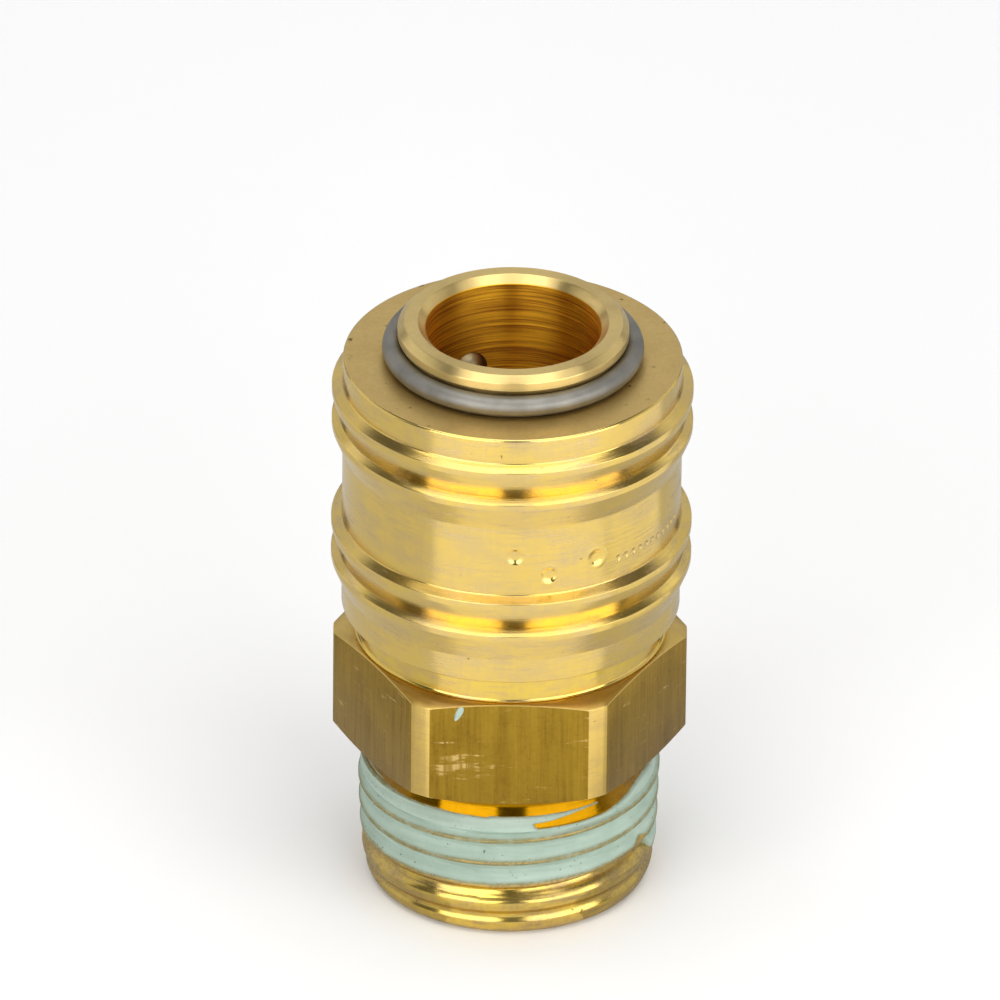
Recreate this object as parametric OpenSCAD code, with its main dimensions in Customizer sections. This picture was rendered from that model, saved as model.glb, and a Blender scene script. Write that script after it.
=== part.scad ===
// Quick disconnect coupler for compressed air: one-hand ball lock, single shut-off valve,
// R 1/2 taper male thread with factory-applied sealant.
// Millimetres. Origin: centre of the threaded end face. +Z runs along the axis to the plug mouth.

/* [Threaded end] */
// Major diameter of the R 1/2 thread at its gauge plane
thread_d = 20.955; // [20.9:0.005:21]
// Distance from the end face to the gauge plane
gauge_length = 8.2; // [7.8:0.1:8.6]
// Pitch of the thread (14 turns to the inch)
thread_pitch = 1.814; // [1.8:0.002:1.83]
// Height at which the thread has run out
thread_top = 10.2; // [10:0.1:10.4]
// Bore through the threaded end
inlet_d = 11; // [9:0.5:11.5]
// Lowest height of the sealant on the thread
sealant_bottom = 4.1; // [3:0.1:5]
// Thickness of the sealant at the bottom of the thread's valley
sealant_t = 0.4; // [0.2:0.05:0.6]

/* [Hexagon and neck] */
// Width across the flats
hex_af = 22; // [21.8:0.1:22.4]
// Diameter that the hexagon's corners are turned to
hex_turned_d = 24.6; // [24:0.1:25]
// Height of the hexagon's lower face
hex_bottom = 11.25; // [11.1:0.05:11.6]
// Height of the hexagon's upper face
hex_top = 19.3; // [19:0.1:19.4]
// Diameter of the neck that guides the sleeve
neck_d = 21.2; // [21:0.1:21.4]

/* [Barrel] */
// Plug bore (for a 12 mm plug)
bore_d = 12.16; // [12.1:0.02:12.2]
// Outside diameter where the sleeve slides
barrel_d = 15.9; // [15.8:0.05:16]
// Diameter of the mouth collar
collar_d = 16; // [15.9:0.05:16.2]
// Height of the mouth face
mouth_z = 43.6; // [43.5:0.1:43.8]
// Height of the shoulder above the plug seal
seal_shoulder_z = 33; // [32.8:0.1:33.2]

/* [Ball lock] */
// Diameter of a locking ball
ball_d = 3; // [2.9:0.05:3]
// Number of locking balls
ball_count = 4; // [4:1:4]
// Height of the ball holes
ball_z = 36.6; // [36.5:0.1:36.8]
// Direction of the first ball, in degrees from +X
ball_azimuth = 29.4; // [0:0.1:89]
// Radius of a ball's centre when locked
ball_seat_r = 6.7; // [6.65:0.01:6.72]
// Outward travel of a ball
ball_travel = 0.9; // [0.86:0.01:0.92]
// Downward travel of the sleeve
sleeve_travel = 1.7; // [1.6:0.05:1.7]

/* [Sleeve] */
// Height of the sleeve's lower edge
sleeve_bottom = 21.5; // [21.3:0.1:21.6]
// Height of the sleeve's upper face
sleeve_top = 40.85; // [40.8:0.01:40.86]
// Diameter over the grip ribs
rib_d = 25; // [24.6:0.1:25.2]
// Diameter of the plain bands
band_d = 23.5; // [23.3:0.1:23.6]
// Diameter at the bottom of the groove inside a pair of ribs
groove_d = 24; // [23.8:0.1:24.2]
// Height of the top edge of the lowest rib
lower_rib_z = 25.65; // [25.4:0.05:25.8]
// Height of the top edge of the third rib
upper_rib_z = 36.1; // [35.9:0.05:36.2]
// Distance between the ribs of a pair
rib_spacing = 2.55; // [2.4:0.05:2.7]

/* [Retaining ring and springs] */
// Wire diameter of the retaining ring
ring_wire = 1.46; // [1.4:0.01:1.46]
// Radius of the middle of the ring's wire
ring_r = 8.32; // [8.32:0.01:8.36]
// Wire diameter of the sleeve spring
sleeve_spring_wire = 1; // [0.9:0.05:1]
// Wire diameter of the valve spring
valve_spring_wire = 0.7; // [0.6:0.05:0.7]

/* [Valve] */
// Travel of the valve
valve_travel = 4; // [3.5:0.1:4]
// Outside diameter of the valve's crown
crown_d = 9.5; // [9.3:0.1:9.5]
// Diameter of the valve's stem
stem_d = 4; // [3.8:0.1:4]

/* [Hidden] */
$fn = 96;

BRASS = [0.80, 0.65, 0.33];
STEEL = [0.62, 0.62, 0.62];
RUBBER = [0.10, 0.10, 0.10];
MINT = [0.69, 0.78, 0.67];

slip = 0.02;             // radial gap between still parts that are pressed or screwed together
run = 0.07;              // radial gap of a sliding fit

// Thread form
taper = 1 / 32;          // growth of the radius with height
thread_h = 0.640327 * thread_pitch;
crest_w = thread_pitch / 6;
root_w = thread_pitch / 6;
thread_phase = 0.7 + thread_pitch / 4;   // height of the first crest at +X
thread_steps = 36;       // sections to a turn
thread_start = 0.35;     // height of the ridge's first section
fade_length = 0.9;       // height over which the ridge runs out
end_chamfer_r = 9.5;     // radius of the end chamfer at the end face
end_chamfer_slope = 0.6; // growth of the end chamfer's radius with height
relief_r = 9.7;
core_r = 3;              // inner radius of the blank, inside every bore

// Body and barrel
hex_chamfer = 0.38;
hex_bottom_chamfer = 0.5;
neck_top = 24;
socket_floor = 14;
barrel_screw_r = 8.9;
barrel_mid_r = 8.4;
barrel_step_z = 33.6;
chamber_r = 6.95;
mouth_chamfer = 0.45;
mouth_round = 0.12;
bore_edge = 0.55;        // lead-in at the plug's mouth
body_seal_z = 21;
body_seal_wire = 1;
body_seal_r = barrel_screw_r - body_seal_wire / 2 + slip;
seal_groove_half = 0.62;
seal_groove_r = body_seal_r - body_seal_wire / 2 - slip;

// Retaining ring
ring_z = sleeve_top + slip + ring_wire / 2;
ring_gap = 1.8;
ring_groove_r = ring_r - ring_wire / 2 - 0.03;

// Ball lock
ball_r = ball_d / 2;
lock_slope = ball_travel / sleeve_travel;
lock_angle = atan(lock_slope);
lock_r_at_ball = ball_seat_r + ball_r / cos(lock_angle) + slip;
land_r = barrel_d / 2 + run;
land_bottom = barrel_step_z + sleeve_travel;
pocket_r = lock_r_at_ball + lock_slope * sleeve_travel;
pocket_bottom = ball_z + sleeve_travel;
lip_r = 8.5;
lip_t = 0.5;

// Sleeve
guide_r = neck_d / 2 + run;
spring_room_r = 10.2;
spring_room_bottom = neck_top + sleeve_travel + 0.3;
rib_flat = 0.45;
rib_cone = 1.85;
rib_shoulder = 0.3;
sleeve_spring_r = 9.2;
sleeve_spring_turns = 7;
washer_r = 10;
washer_top = neck_top + 0.42;

// Valve column, from the top down
stack_gap = 0.02;
plug_seal_h = 2.3;
support_h = 0.7;
seat_h = 2;
stack_r = chamber_r - 0.05;
plug_seal_top = seal_shoulder_z - stack_gap;
plug_seal_bottom = plug_seal_top - plug_seal_h + stack_gap;
support_top = plug_seal_bottom - stack_gap;
support_bottom = support_top - support_h + stack_gap;
seat_top = support_bottom - stack_gap;
seat_bottom = seat_top - seat_h + stack_gap;
seat_bore_r = 5.1;
seat_cone_top = seat_bottom + 1;
valve_seal_wire = 1.6;
valve_seal_r = 5;
valve_seal_gap = 0.03;
valve_seal_z = seat_bore_r + seat_cone_top - valve_seal_r - sqrt(2) * (valve_seal_wire / 2 + valve_seal_gap);
valve_groove_r = valve_seal_r - valve_seal_wire / 2 - slip;
flange_top = valve_seal_z - valve_seal_wire / 2 - slip;
flange_bottom = flange_top - 1;
flange_r = 5.9;
crown_bottom = valve_seal_z + valve_seal_wire / 2 + slip;
crown_top = seal_shoulder_z + 0.4;
crown_bore_r = 3.6;
window_w = 3;
stem_bottom = 14.8;
valve_spring_r = 4;
valve_spring_turns = 6;
valve_spring_spare = 0.5;    // length left when the spring is pressed as far as the valve travels
guide_top = flange_bottom - valve_travel - valve_spring_turns * valve_spring_wire - valve_spring_spare;
guide_bottom = guide_top - 1.8;
guide_rim_w = 1;
guide_hub_r = 2.95;
guide_spoke_w = 1.8;
circlip_t = 0.7;
circlip_groove_r = 7.4;
circlip_w = 1.3;
circlip_gap = 3;

// Points of an outline whose corners [x, y, radius] are rounded by tangent arcs
function unit(v) = v / norm(v);
function xy(p) = [p[0], p[1]];
function turn(a) = a > 180 ? a - 360 : a < -180 ? a + 360 : a;
function corner_arc(b, u, v, f, steps) =
    let(
        half = acos(u * v) / 2,
        centre = b + unit(u + v) * f / sin(half),
        from = b + u * f / tan(half) - centre,
        to = b + v * f / tan(half) - centre,
        start = atan2(from[1], from[0]),
        sweep_angle = turn(atan2(to[1], to[0]) - start)
    )
    [for (i = [0:steps]) centre + f * [cos(start + sweep_angle * i / steps), sin(start + sweep_angle * i / steps)]];
function rounded(p, steps = 4) = [
    for (i = [0:len(p) - 1])
        let(b = xy(p[i]), a = xy(p[(i + len(p) - 1) % len(p)]), c = xy(p[(i + 1) % len(p)]))
        each (len(p[i]) < 3 ? [b] : corner_arc(b, unit(a - b), unit(c - b), p[i][2], steps))
];

// Solid of revolution from an outline of [radius, height, fillet] corners
module turned(outline) {
    rotate_extrude($fn = 128) polygon(rounded(outline));
}

// Ring of round wire
module wire_ring(r, wire, z) {
    translate([0, 0, z]) rotate_extrude($fn = 128) translate([r, 0]) circle(d = wire, $fn = 48);
}

// Closed solid through rings of points that all have the same number of points
module loft(rings) {
    m = len(rings[0]);
    last = len(rings) - 1;
    sides = [
        for (i = [0:last - 1], j = [0:m - 1])
            let(a = i * m + j, b = i * m + (j + 1) % m)
            each [[a, b, b + m], [a, b + m, a + m]]
    ];
    caps = [[for (j = [0:m - 1]) m - 1 - j], [for (j = [0:m - 1]) last * m + j]];
    polyhedron(points = [for (r = rings) each r], faces = concat(sides, caps));
}

// Section points [radius, height] placed at an angle about the axis
function placed(section, angle) = [for (p = section) [p[0] * cos(angle), p[0] * sin(angle), p[1]]];

// Thread: radii at a height, and the height of the crest at an angle
function major_r(z) = thread_d / 2 + (z - gauge_length) * taper;
function minor_r(z) = major_r(z) - thread_h;
function crest_r(z) = min(
    major_r(z),
    end_chamfer_r + end_chamfer_slope * max(z, 0),
    minor_r(z) + thread_h * min(1, max(0.02, (thread_top - 0.5 - z) / fade_length))
);
function ridge_section(z) =
    let(root = minor_r(z), crest = max(crest_r(z), root + 0.02), part = (crest - root) / thread_h)
    let(base_half = (thread_pitch - root_w) / 2, crest_half = base_half - (base_half - crest_w / 2) * part)
    let(low = function(h) max(0.02, h))
    [
        [root - 0.25, low(z - base_half)],
        [root, low(z - base_half)],
        [crest, low(z - crest_half)],
        [crest, low(z + crest_half)],
        [root, low(z + base_half)],
        [root - 0.25, low(z + base_half)]
    ];

// Coil spring of round wire with closed end turns
module coil_spring(bottom, top, r, wire, turns, sides = 8, steps = 20) {
    closed_pitch = wire * 1.06;
    rise = top - bottom - wire;
    open_pitch = (rise - 2 * closed_pitch) / (turns - 2);
    height_at = function(t) t < 1 ? t * closed_pitch
        : t > turns - 1 ? rise - (turns - t) * closed_pitch
        : closed_pitch + (t - 1) * open_pitch;
    loft([
        for (i = [0:turns * steps])
            let(t = i / steps, z = bottom + wire / 2 + height_at(t))
            placed([for (j = [0:sides - 1])
                [r + wire / 2 * cos(360 * j / sides), z + wire / 2 * sin(360 * j / sides)]], 360 * t)
    ]);
}

// Hexagon, thread and neck in one piece
module threaded_adapter() {
    color(BRASS) difference() {
        union() {
            turned([
                [core_r, 0], [minor_r(0) - 0.1, 0], [minor_r(0.1), 0.1], [minor_r(thread_top), thread_top],
                [relief_r, thread_top + 0.3], [relief_r, hex_bottom + 0.1], [hex_af / 2 - 0.1, hex_bottom + 0.1],
                [hex_af / 2 - 0.1, hex_top], [neck_d / 2, hex_top, 0.25], [neck_d / 2, neck_top - 0.2],
                [neck_d / 2 - 0.2, neck_top], [core_r, neck_top]
            ]);
            intersection() {
                translate([0, 0, hex_bottom]) cylinder(d = hex_af / cos(30), h = hex_top - hex_bottom, $fn = 6);
                turned([
                    [0, hex_bottom], [hex_af / 2 - 0.1, hex_bottom],
                    [hex_turned_d / 2, hex_bottom + hex_bottom_chamfer], [hex_turned_d / 2, hex_top - hex_chamfer],
                    [hex_af / 2 - 0.1, hex_top], [0, hex_top]
                ]);
            }
            thread_ridge();
        }
        translate([0, 0, -1]) cylinder(d = inlet_d, h = socket_floor + 2);
        translate([0, 0, -0.01]) cylinder(r1 = inlet_d / 2 + 0.5, r2 = inlet_d / 2, h = 0.5);
        translate([0, 0, socket_floor]) cylinder(r = barrel_screw_r + slip + 0.03, h = neck_top - socket_floor + 1);
    }
}

module thread_ridge() {
    turns = (thread_top - 0.5 - thread_start) / thread_pitch;
    count = floor(turns * thread_steps);
    loft([
        for (i = [0:count])
            let(z = thread_start + i * thread_pitch / thread_steps, angle = 360 * (z - thread_phase) / thread_pitch)
            placed(ridge_section(z), angle)
    ]);
}

// Sealant: a strip that lines the valley between two turns of the thread
module thread_sealant() {
    clear = 0.02;
    root_clear = 0.06;       // more than the sag of a facet, so that the strip clears the round core
    step = thread_pitch / thread_steps;
    valley = thread_start + thread_pitch / 2;   // a valley at the angle of the ridge's first section
    first = valley + step * ceil((sealant_bottom + thread_pitch / 2 - valley) / step);
    count = floor((thread_top - 0.75 - first) / step);
    color(MINT) loft([
        for (i = [0:count])
            let(z = first + i * step, angle = 360 * (z - thread_pitch / 2 - thread_phase) / thread_pitch)
            let(root = minor_r(z) + root_clear, crest = max(crest_r(z + thread_pitch / 2), root + 0.5) - clear)
            let(part = (crest - minor_r(z)) / thread_h)
            let(crest_half = root_w / 2 + (thread_pitch - root_w - crest_w) / 2 * part - clear)
            placed([
                [crest, z - crest_half],
                [root, z - root_w / 2],
                [root, z + root_w / 2],
                [crest, z + crest_half],
                [crest + 0.04, z + crest_half - 0.06],
                [root + sealant_t, z + root_w / 2],
                [root + sealant_t, z - root_w / 2],
                [crest + 0.04, z - crest_half + 0.06]
            ], angle)
    ]);
}

// Tube that takes the plug, carries the balls and the retaining ring, and holds the valve
module barrel() {
    collar_r = collar_d / 2;
    bore_r = bore_d / 2;
    color(BRASS) difference() {
        turned([
            [chamber_r + 0.3, socket_floor], [barrel_screw_r - 0.4, socket_floor],
            [barrel_screw_r, socket_floor + 0.4], [barrel_screw_r, body_seal_z - seal_groove_half],
            [seal_groove_r, body_seal_z - seal_groove_half], [seal_groove_r, body_seal_z + seal_groove_half],
            [barrel_screw_r, body_seal_z + seal_groove_half], [barrel_screw_r, neck_top],
            [barrel_mid_r, neck_top], [barrel_mid_r, barrel_step_z], [barrel_d / 2, barrel_step_z],
            [barrel_d / 2, ring_z - ring_wire / 2], [ring_groove_r, ring_z - 0.35],
            [ring_groove_r, ring_z + 0.2], [collar_r, ring_z + 0.98],
            [collar_r, mouth_z - mouth_chamfer, mouth_round], [collar_r - mouth_chamfer, mouth_z, mouth_round],
            [bore_r + bore_edge, mouth_z, mouth_round], [bore_r, mouth_z - bore_edge],
            [bore_r, seal_shoulder_z], [chamber_r, seal_shoulder_z], [chamber_r, socket_floor + 0.3]
        ]);
        for (k = [0:ball_count - 1]) rotate([0, 0, ball_azimuth + 360 * k / ball_count]) {
            translate([ball_seat_r, 0, ball_z]) sphere(r = ball_r + slip);
            translate([ball_seat_r, 0, ball_z]) rotate([0, 90, 0]) cylinder(r = ball_r + slip, h = 3);
        }
        translate([0, 0, guide_bottom - circlip_t - slip])
            cylinder(r = circlip_groove_r, h = circlip_t + 2 * slip);
    }
}

// Release sleeve with two pairs of grip ribs
function rib(top, r_below) = [
    [r_below, top - rib_flat - rib_cone * (rib_d / 2 - r_below) / (rib_d / 2 - band_d / 2), 0.5],
    [rib_d / 2, top - rib_flat, 0.2],
    [rib_d / 2, top, 0.12]
];
module sleeve() {
    band_r = band_d / 2;
    groove_r = groove_d / 2;
    color(BRASS) turned([
        [guide_r + 0.3, sleeve_bottom], [band_r, sleeve_bottom, 0.2],
        each rib(lower_rib_z, band_r), [groove_r, lower_rib_z + rib_shoulder, 0.15],
        [rib_d / 2, lower_rib_z + rib_spacing - rib_flat, 0.2], [rib_d / 2, lower_rib_z + rib_spacing, 0.12],
        [band_r, lower_rib_z + rib_spacing + rib_shoulder, 0.2],
        each rib(upper_rib_z, band_r), [groove_r, upper_rib_z + rib_shoulder, 0.15],
        [rib_d / 2, upper_rib_z + rib_spacing - rib_flat, 0.2], [rib_d / 2, upper_rib_z + rib_spacing, 0.12],
        [band_r, upper_rib_z + rib_spacing + rib_shoulder, 0.2],
        [band_r, sleeve_top, 0.2], [lip_r, sleeve_top],
        [lip_r, sleeve_top - lip_t], [pocket_r, sleeve_top - lip_t], [pocket_r, pocket_bottom],
        [land_r, ball_z - (lock_r_at_ball - land_r) / lock_slope], [land_r, land_bottom],
        [spring_room_r, land_bottom, 0.3], [spring_room_r, spring_room_bottom],
        [guide_r, spring_room_bottom], [guide_r, sleeve_bottom + 0.3]
    ]);
}

// Split wire ring that stops the sleeve under the mouth collar
module retaining_ring() {
    color(STEEL) difference() {
        wire_ring(ring_r, ring_wire, ring_z);
        translate([-ring_gap / 2, ring_r - 2, ring_z - 1]) cube([ring_gap, 4, 2]);
    }
}

module sleeve_spring() {
    color(STEEL) coil_spring(
        washer_top + 0.03, land_bottom - 0.03, sleeve_spring_r, sleeve_spring_wire, sleeve_spring_turns
    );
}

module spring_washer() {
    color(STEEL) turned([
        [barrel_mid_r + 0.1, neck_top + slip], [washer_r, neck_top + slip],
        [washer_r, washer_top], [barrel_mid_r + 0.1, washer_top]
    ]);
}

module locking_ball(k) {
    color(STEEL) rotate([0, 0, ball_azimuth + 360 * k / ball_count])
        translate([ball_seat_r, 0, ball_z]) sphere(r = ball_r);
}

// Lip seal that grips the plug
module plug_seal() {
    color(RUBBER) turned([
        [5.5, plug_seal_bottom], [stack_r, plug_seal_bottom], [stack_r, plug_seal_top],
        [5.9, plug_seal_top, 0.3], [crown_d / 2 + 0.2, plug_seal_top - 1, 0.2],
        [crown_d / 2 + 0.2, plug_seal_top - 1.6, 0.2]
    ]);
}

module seal_support_ring() {
    color(BRASS) turned([
        [5.3, support_bottom], [stack_r, support_bottom], [stack_r, support_top], [5.3, support_top]
    ]);
}

// Ring with the conical seat that the valve seal closes against
module valve_seat() {
    color(BRASS) turned([
        [seat_bore_r + 1, seat_bottom], [stack_r, seat_bottom], [stack_r, seat_top],
        [seat_bore_r, seat_top], [seat_bore_r, seat_cone_top]
    ]);
}

// Hollow crown that the plug pushes, seal groove, spring flange and guide stem
module valve_poppet() {
    color(BRASS) difference() {
        turned([
            [0, stem_bottom], [stem_d / 2 - 0.3, stem_bottom], [stem_d / 2, stem_bottom + 0.3],
            [stem_d / 2, flange_bottom], [flange_r, flange_bottom], [flange_r, flange_top],
            [valve_groove_r, flange_top], [valve_groove_r, crown_bottom], [crown_d / 2, crown_bottom],
            [crown_d / 2, crown_top - 0.3], [crown_d / 2 - 0.3, crown_top], [crown_bore_r, crown_top],
            [crown_bore_r, crown_bottom + 0.7], [0, crown_bottom + 0.7]
        ]);
        for (a = [0, 90]) rotate([0, 0, a + 45])
            translate([-crown_d, -window_w / 2, crown_bottom + 0.7]) cube([2 * crown_d, window_w, 2.7]);
    }
}

module valve_seal() {
    color(RUBBER) wire_ring(valve_seal_r, valve_seal_wire, valve_seal_z);
}

module valve_spring() {
    color(STEEL) coil_spring(
        guide_top + slip, flange_bottom - slip, valve_spring_r, valve_spring_wire, valve_spring_turns
    );
}

// Spider that guides the valve's stem and carries its spring
module valve_guide() {
    height = guide_top - guide_bottom;
    color(BRASS) translate([0, 0, guide_bottom]) difference() {
        union() {
            difference() {
                cylinder(r = stack_r, h = height);
                translate([0, 0, -1]) cylinder(r = stack_r - guide_rim_w, h = height + 2);
            }
            cylinder(r = guide_hub_r, h = height);
            for (a = [0, 90]) rotate([0, 0, a])
                translate([-stack_r + 0.4, -guide_spoke_w / 2, 0]) cube([2 * stack_r - 0.8, guide_spoke_w, height]);
        }
        translate([0, 0, -1]) cylinder(d = stem_d + 0.1, h = height + 2);
    }
}

// Internal circlip that keeps the guide in the barrel
module guide_circlip() {
    outer_r = circlip_groove_r - slip;
    color(STEEL) translate([0, 0, guide_bottom - circlip_t]) difference() {
        cylinder(r = outer_r, h = circlip_t - slip);
        translate([0, 0, -1]) cylinder(r = outer_r - circlip_w, h = circlip_t + 2);
        translate([-circlip_gap / 2, 0, -1]) cube([circlip_gap, outer_r + 2, circlip_t + 2]);
    }
}

module body_seal() {
    color(RUBBER) wire_ring(body_seal_r, body_seal_wire, body_seal_z);
}

threaded_adapter();
thread_sealant();
barrel();
sleeve();
retaining_ring();
sleeve_spring();
spring_washer();
locking_ball(0);  // locking_ball_1
locking_ball(1);  // locking_ball_2
locking_ball(2);  // locking_ball_3
locking_ball(3);  // locking_ball_4
plug_seal();
seal_support_ring();
valve_seat();
valve_poppet();
valve_seal();
valve_spring();
valve_guide();
guide_circlip();
body_seal();
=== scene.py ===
"""Looks of the quick disconnect coupler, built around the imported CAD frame."""
import math

import bmesh
import bpy
import numpy as np
from mathutils import Matrix, Vector


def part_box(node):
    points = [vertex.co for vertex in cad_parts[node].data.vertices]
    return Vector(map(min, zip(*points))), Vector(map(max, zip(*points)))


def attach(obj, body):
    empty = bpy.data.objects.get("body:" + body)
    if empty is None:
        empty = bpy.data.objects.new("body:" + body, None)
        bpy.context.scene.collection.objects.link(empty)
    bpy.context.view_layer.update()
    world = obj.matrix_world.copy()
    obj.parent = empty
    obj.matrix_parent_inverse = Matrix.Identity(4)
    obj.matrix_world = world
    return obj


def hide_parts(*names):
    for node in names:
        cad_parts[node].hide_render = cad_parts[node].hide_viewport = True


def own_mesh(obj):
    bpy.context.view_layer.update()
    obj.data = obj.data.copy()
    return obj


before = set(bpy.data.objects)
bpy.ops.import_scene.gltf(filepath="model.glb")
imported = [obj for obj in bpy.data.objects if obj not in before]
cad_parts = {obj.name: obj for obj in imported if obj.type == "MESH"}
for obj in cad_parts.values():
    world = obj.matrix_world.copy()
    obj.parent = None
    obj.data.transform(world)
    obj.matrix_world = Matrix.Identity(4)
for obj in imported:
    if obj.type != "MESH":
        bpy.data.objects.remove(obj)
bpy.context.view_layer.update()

MM = 0.001
TURN = 2 * math.pi

# Where things are, read from the frame
ADAPTER_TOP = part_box("threaded_adapter")[1].z / MM
SLEEVE_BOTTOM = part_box("sleeve")[0].z / MM
SLEEVE_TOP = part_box("sleeve")[1].z / MM
HEX_CORNER_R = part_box("threaded_adapter")[1].x / MM
HEX_FLAT_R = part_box("threaded_adapter")[1].y / MM

# R 1/2 taper thread; lengths here and below are in millimetres
PITCH = 1.814
THREAD_D = 20.955
GAUGE = 8.2
TAPER = 1 / 32
THREAD_H = 0.640327 * PITCH
THREAD_TOP = 10.2
CREST_AT_X = 0.7 + PITCH / 4
# Run-out at the thread's top: the ridge sinks and the valley rises until they meet
RUNOUT = 0.9
RIDGE_END = THREAD_TOP - 0.3
RUNOUT_R = 9.66
RUNOUT_SLOPE = 0.36
VALLEY_RISE = (7.9, 8.8)
# Lead at the thread's foot: the end face's edge, a rounded cone, and turns with a soft form above it
END_FACE_R = 8.8
FOOT_R = 9.3
FOOT_EDGE = (-0.02, 0.32)
LEAD_R = 9.5
LEAD_GROWTH = 0.75
LEAD_LENGTH = 0.8
LEAD_TOP = 3
LEAD_BLEND = 0.12
SOFT_FORM, SOFT_SWING = 0.81, 0.19
FULL_FORM_RISE = (3.1, 4.3)
# Shares of the pitch where the rows of a thread lie, closer together where its form bends
BENDS = [0, 0.03, 0.06, 0.085, 0.11, 0.15, 0.2, 0.26, 0.32, 0.37, 0.40, 0.42, 0.445, 0.475,
         0.5, 0.525, 0.555, 0.58, 0.60, 0.63, 0.68, 0.74, 0.8, 0.85, 0.89, 0.915, 0.94, 0.97]

# Hexagon, neck and bores of the adapter
HEX_BOTTOM = 11.25
HEX_TOP = 19.3
HEX_CHAMFER = 0.38
HEX_BOTTOM_CHAMFER = 0.5
HEX_EDGE = 0.05
TURNED_R = HEX_FLAT_R - 0.1
NECK_R = 10.6
NECK_EDGE = 0.2
RELIEF_R = 9.61
RELIEF_LOOK_BOTTOM = 8.65
INLET_R = 5.5
INLET_EDGE = 0.5
SOCKET_R = 8.95
SOCKET_FLOOR = 14.0

# Sealant and sleeve
FRONT_CREST = 2.51
COAT_BOTTOM = 2.0
COAT_TOP = 9.58
STRIPE_TOP = 9.66
RESIDUE_TOP = 8.5
BAND_R = 11.75
RIB_R = 12.5

# Material slots of the adapter, and the second one of the sleeve
TURNED_FINISH, FLAT_FINISH, THREAD_FINISH, RELIEF_SHADED, CORNER_FINISH = 0, 1, 2, 3, 4
FACED_FINISH = 1


# ---------------------------------------------------------------- meshes

def new_object(name, verts, faces, sharp_deg=30):
    """A mesh object from points in millimetres, smooth shaded with sharp edges above an angle."""
    mesh = bpy.data.meshes.new(name)
    mesh.from_pydata([tuple(v) for v in np.asarray(verts, float) * MM], [], faces)
    mesh.update()
    obj = bpy.data.objects.new(name, mesh)
    bpy.context.scene.collection.objects.link(obj)
    mesh.shade_smooth()
    mesh.set_sharp_from_angle(angle=math.radians(sharp_deg))
    return obj


def skin(name, theta, rows, sharp_deg=30, helix=range(0)):
    """A ring-shaped closed skin: rows are (radius, height) over theta, and the last row joins the first.
    Rows in helix climb with theta, so each one runs on into the row a turn above it."""
    cols = len(theta)
    verts = []
    for radius, height in rows:
        radius = np.broadcast_to(radius, cols)
        height = np.broadcast_to(height, cols)
        verts.append(np.stack([radius * np.cos(theta), radius * np.sin(theta), height], axis=1))
    verts = np.concatenate(verts)
    count = len(rows)
    faces = []
    for j in range(count):
        above = (j + 1) % count
        for i in range(cols - 1):
            faces.append((j * cols + i, j * cols + i + 1, above * cols + i + 1, above * cols + i))
        last, last_above = j * cols + cols - 1, above * cols + cols - 1
        faces.append((last, run_on(j, helix) * cols, run_on(above, helix) * cols, last_above))
    obj = new_object(name, verts, faces, sharp_deg)
    weld(obj, sharp_deg)
    return obj


def run_on(row, helix):
    """The row that a row runs into after one turn."""
    return min(row + len(BENDS), helix[-1]) if row in helix else row


def weld(obj, sharp_deg):
    """Merges the points where rows run together, drops the flattened faces and turns normals outwards."""
    bm = bmesh.new()
    bm.from_mesh(obj.data)
    bmesh.ops.remove_doubles(bm, verts=bm.verts, dist=2e-7)
    bmesh.ops.dissolve_degenerate(bm, edges=bm.edges, dist=1e-7)
    bmesh.ops.recalc_face_normals(bm, faces=bm.faces)
    bm.to_mesh(obj.data)
    bm.free()
    obj.data.shade_smooth()
    obj.data.set_sharp_from_angle(angle=math.radians(sharp_deg))


def fillet(corner_from, corner, corner_to, radius, steps=5):
    """Points of the arc that rounds a corner of an outline."""
    b = np.array(corner, float)
    u = np.array(corner_from, float) - b
    v = np.array(corner_to, float) - b
    u, v = u / np.linalg.norm(u), v / np.linalg.norm(v)
    half = math.acos(max(-1, min(1, float(u @ v)))) / 2
    centre = b + (u + v) / np.linalg.norm(u + v) * radius / math.sin(half)
    start = b + u * radius / math.tan(half) - centre
    end = b + v * radius / math.tan(half) - centre
    a0 = math.atan2(start[1], start[0])
    sweep = (math.atan2(end[1], end[0]) - a0 + math.pi) % TURN - math.pi
    angles = [a0 + sweep * s / steps for s in range(steps + 1)]
    return [tuple(centre + radius * np.array([math.cos(a), math.sin(a)])) for a in angles]


def outline(corners):
    """An outline from (radius, height, fillet) corners."""
    points = []
    for i, c in enumerate(corners):
        before, after = corners[i - 1], corners[(i + 1) % len(corners)]
        if len(c) < 3:
            points.append(tuple(c))
        else:
            points += fillet(before[:2], c[:2], after[:2], c[2])
    return points


def smooth_step(lo, hi, x):
    t = np.clip((np.asarray(x, float) - lo) / (hi - lo), 0, 1)
    return t * t * (3 - 2 * t)


# ---------------------------------------------------------------- the thread's form

def major_r(z):
    return THREAD_D / 2 + (z - GAUGE) * TAPER


def minor_r(z):
    return major_r(z) - THREAD_H


def thread_shape(share):
    """Height of the thread's form, 0 at the root and 1 at the crest, at a share of the pitch."""
    flank = (5 / 12 - np.abs((np.asarray(share) % 1) - 0.5)) * 3
    soft = 0.07
    root = np.clip((flank + soft) ** 2 / (4 * soft), 0, None) * (flank > -soft)
    low = np.where(flank < soft, root, flank)
    crest = np.where(low < 1 + soft, 1 - (1 + soft - low) ** 2 / (4 * soft), 1)
    return np.where(low > 1 - soft, crest, low)


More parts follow.
